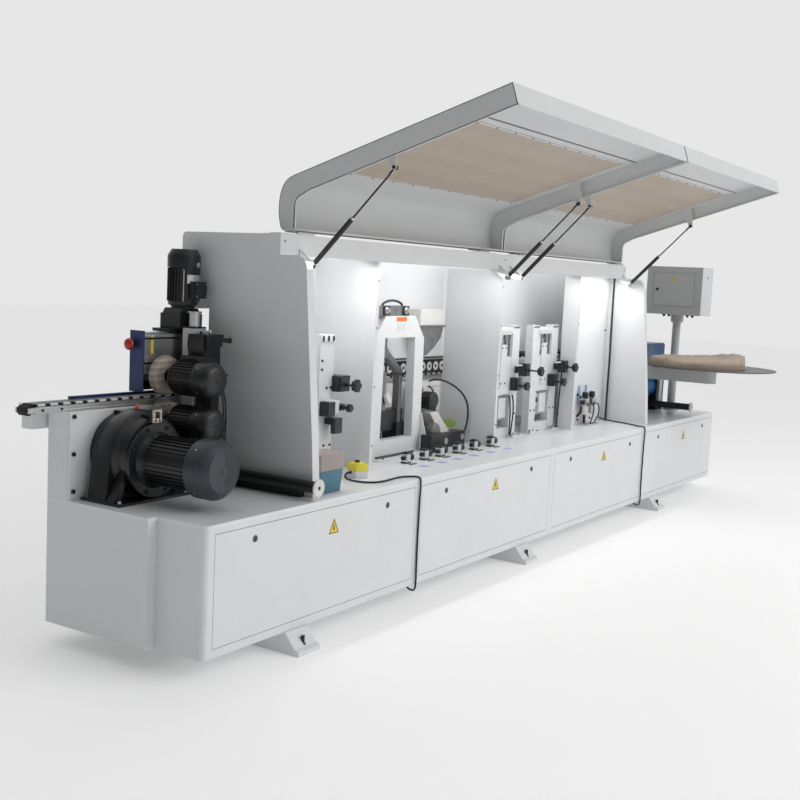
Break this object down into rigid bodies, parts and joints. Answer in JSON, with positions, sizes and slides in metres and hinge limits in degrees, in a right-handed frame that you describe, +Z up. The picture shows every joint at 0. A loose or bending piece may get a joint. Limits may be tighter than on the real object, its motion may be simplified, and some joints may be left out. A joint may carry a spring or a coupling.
{
  "type": "edge banding machine",
  "caption": "Automatic edge banding machine: long cabinet base, panel conveyor with pressure beam, lifting hoods over the working units, coil table.",
  "frame": {"origin": "centre of the footprint, on the floor", "axes": "+X along the machine from the exit end to the infeed end, -Y towards the operator and the hoods, +Z up"},
  "size_m": [5.9863, 1.5944, 2.2386],
  "materials": {
    "light_paint": "satin powder coat",
    "deck_paint": "gloss paint",
    "grey_paint": "satin powder coat",
    "black_paint": "satin paint",
    "steel": "machined",
    "aluminium": "extruded, with a navy painted end cap",
    "pad_rubber": "moulded rubber",
    "roller_rubber": "rubber-tyred rollers in a black carrier",
    "cotton": "sewn cotton",
    "window_film": "protective film",
    "red_plastic": "gloss",
    "yellow_plastic": "moulded",
    "teal_plastic": "moulded",
    "black_plastic": "moulded",
    "disc_paint": "satin paint",
    "cable_sheath": "matte sheath"
  },
  "bodies": {
    "frame": {"base_frame": "light_paint", "cabinet_shell": "light_paint", "deck_plate": "deck_paint", "rear_column": "light_paint", "conveyor_track": "aluminium", "chain_pads": "pad_rubber", "gear_reducer": "black_paint", "gear_motor": "black_paint", "buff_motor_upper": "black_paint", "buff_motor_lower": "black_paint", "shield_left": "light_paint", "shield_right": "light_paint", "divider_1": "light_paint", "divider_2": "light_paint", "divider_3": "light_paint", "header_beam": "light_paint", "rear_cover": "light_paint", "scraper_post": "light_paint", "corner_arch": "light_paint", "trim_portal_1": "light_paint", "trim_portal_2": "light_paint", "control_box": "grey_paint", "tape_arm": "grey_paint", "glue_unit": "black_paint", "air_unit": "black_plastic", "button_box": "yellow_plastic", "fluid_tank": "teal_plastic", "cable_left": "cable_sheath", "cable_right": "cable_sheath", "cable_drop": "cable_sheath"},
    "hood_1": {"hood_shell_1": "grey_paint", "hood_window_1": "window_film"},
    "hood_2": {"hood_shell_2": "grey_paint", "hood_window_2": "window_film"},
    "strut_tubes_1": {"strut_tube_1": "black_paint", "strut_tube_2": "black_paint"},
    "strut_rods_1": {"strut_rod_1": "steel", "strut_rod_2": "steel"},
    "strut_tubes_2": {"strut_tube_3": "black_paint", "strut_tube_4": "black_paint"},
    "strut_rods_2": {"strut_rod_3": "steel", "strut_rod_4": "steel"},
    "beam": {"pressure_beam": "aluminium", "roller_carrier": "roller_rubber", "lift_motor": "black_paint"},
    "estop": {"estop_button": "red_plastic"},
    "return_roller": {"conveyor_roller": "pad_rubber"},
    "buff_upper": {"buff_wheel_upper": "cotton"},
    "buff_lower": {"buff_wheel_lower": "cotton"},
    "box_door": {"control_door": "grey_paint"},
    "coil_table": {"tape_disc": "disc_paint"},
    "door_1": {"cabinet_door_1": "light_paint"},
    "door_2": {"cabinet_door_2": "light_paint"},
    "door_3": {"cabinet_door_3": "light_paint"},
    "door_4": {"cabinet_door_4": "light_paint"},
    "panel_support": {"outrigger": "grey_paint"},
    "push_button": {"box_button": "black_plastic"},
    "knob_scraper": {"scraper_knob": "black_plastic"},
    "knob_trim_1": {"trim_knob_1": "black_plastic"},
    "knob_trim_2": {"trim_knob_2": "black_plastic"}
  },
  "joints": [
    {"name": "hood_1_hinge", "type": "hinge", "parent": "frame", "child": "hood_1", "pos_m": [-1.01725, 0.2112, 1.667], "axis": [1, 0, 0], "range_deg": [0, 100]},
    {"name": "hood_2_hinge", "type": "hinge", "parent": "frame", "child": "hood_2", "pos_m": [0.79325, 0.2112, 1.667], "axis": [1, 0, 0], "range_deg": [0, 100]},
    {"name": "struts_1_pivot", "type": "hinge", "parent": "frame", "child": "strut_tubes_1", "pos_m": [-1.03875, 0.1512, 1.537], "axis": [1, 0, 0], "range_deg": [0, 116.4]},
    {"name": "struts_1_slide", "type": "slide", "parent": "strut_tubes_1", "child": "strut_rods_1", "axis": [0, -0.7027, 0.7115], "range_m": [-0.1764, 0]},
    {"name": "struts_2_pivot", "type": "hinge", "parent": "frame", "child": "strut_tubes_2", "pos_m": [0.81125, 0.1512, 1.537], "axis": [1, 0, 0], "range_deg": [0, 116.4]},
    {"name": "struts_2_slide", "type": "slide", "parent": "strut_tubes_2", "child": "strut_rods_2", "axis": [0, -0.7027, 0.7115], "range_m": [-0.1764, 0]},
    {"name": "beam_lift", "type": "slide", "parent": "frame", "child": "beam", "axis": [0, 0, 1], "range_m": [0, 0.05]},
    {"name": "estop_press", "type": "slide", "parent": "beam", "child": "estop", "axis": [1, 0, 0], "range_m": [0, 0.006]},
    {"name": "return_roller_spin", "type": "hinge", "parent": "frame", "child": "return_roller", "pos_m": [-2.97325, 0.6552, 0.945], "axis": [0, 1, 0], "continuous": true},
    {"name": "buff_upper_spin", "type": "hinge", "parent": "frame", "child": "buff_upper", "pos_m": [-2.32875, 0.5792, 1.055], "axis": [0, 1, 0], "continuous": true},
    {"name": "buff_lower_spin", "type": "hinge", "parent": "frame", "child": "buff_lower", "pos_m": [-2.32875, 0.5792, 0.87], "axis": [0, 1, 0], "continuous": true},
    {"name": "control_door_hinge", "type": "hinge", "parent": "frame", "child": "box_door", "pos_m": [2.74125, 0.0707, 1.521], "axis": [0, 0, 1], "range_deg": [0, 110]},
    {"name": "coil_table_spin", "type": "hinge", "parent": "frame", "child": "coil_table", "pos_m": [2.39125, -0.2188, 0.965], "axis": [0, 0, 1], "continuous": true},
    {"name": "door_1_hinge", "type": "hinge", "parent": "frame", "child": "door_1", "pos_m": [-2.03275, -0.0688, 0.12], "axis": [1, 0, 0], "range_deg": [0, 95]},
    {"name": "door_2_hinge", "type": "hinge", "parent": "frame", "child": "door_2", "pos_m": [-0.61125, -0.0688, 0.12], "axis": [1, 0, 0], "range_deg": [0, 95]},
    {"name": "door_3_hinge", "type": "hinge", "parent": "frame", "child": "door_3", "pos_m": [0.80875, -0.0688, 0.12], "axis": [1, 0, 0], "range_deg": [0, 95]},
    {"name": "door_4_hinge", "type": "hinge", "parent": "frame", "child": "door_4", "pos_m": [2.24875, -0.0688, 0.12], "axis": [1, 0, 0], "range_deg": [0, 95]},
    {"name": "panel_support_slide", "type": "slide", "parent": "frame", "child": "panel_support", "axis": [0, 1, 0], "range_m": [0, 0.55]},
    {"name": "push_button_press", "type": "slide", "parent": "frame", "child": "push_button", "axis": [0, 0, -1], "range_m": [0, 0.003], "stiffness_N_per_m": 600, "springref_m": -0.003},
    {"name": "scraper_knob_turn", "type": "hinge", "parent": "frame", "child": "knob_scraper", "pos_m": [-1.50875, 0.1812, 1.003], "axis": [0, 1, 0], "continuous": true},
    {"name": "trim_knob_1_turn", "type": "hinge", "parent": "frame", "child": "knob_trim_1", "pos_m": [0.36625, 0.1812, 0.993], "axis": [0, 1, 0], "continuous": true},
    {"name": "trim_knob_2_turn", "type": "hinge", "parent": "frame", "child": "knob_trim_2", "pos_m": [0.90625, 0.1812, 0.993], "axis": [0, 1, 0], "continuous": true}
  ],
  "couplings": [
    {"joint": "struts_1_pivot", "follows": "hood_1_hinge", "ratio": 1.1607},
    {"joint": "struts_1_slide", "follows": "hood_1_hinge", "m_per_rad": -0.10076},
    {"joint": "struts_2_pivot", "follows": "hood_2_hinge", "ratio": 1.1607},
    {"joint": "struts_2_slide", "follows": "hood_2_hinge", "m_per_rad": -0.10076}
  ]
}
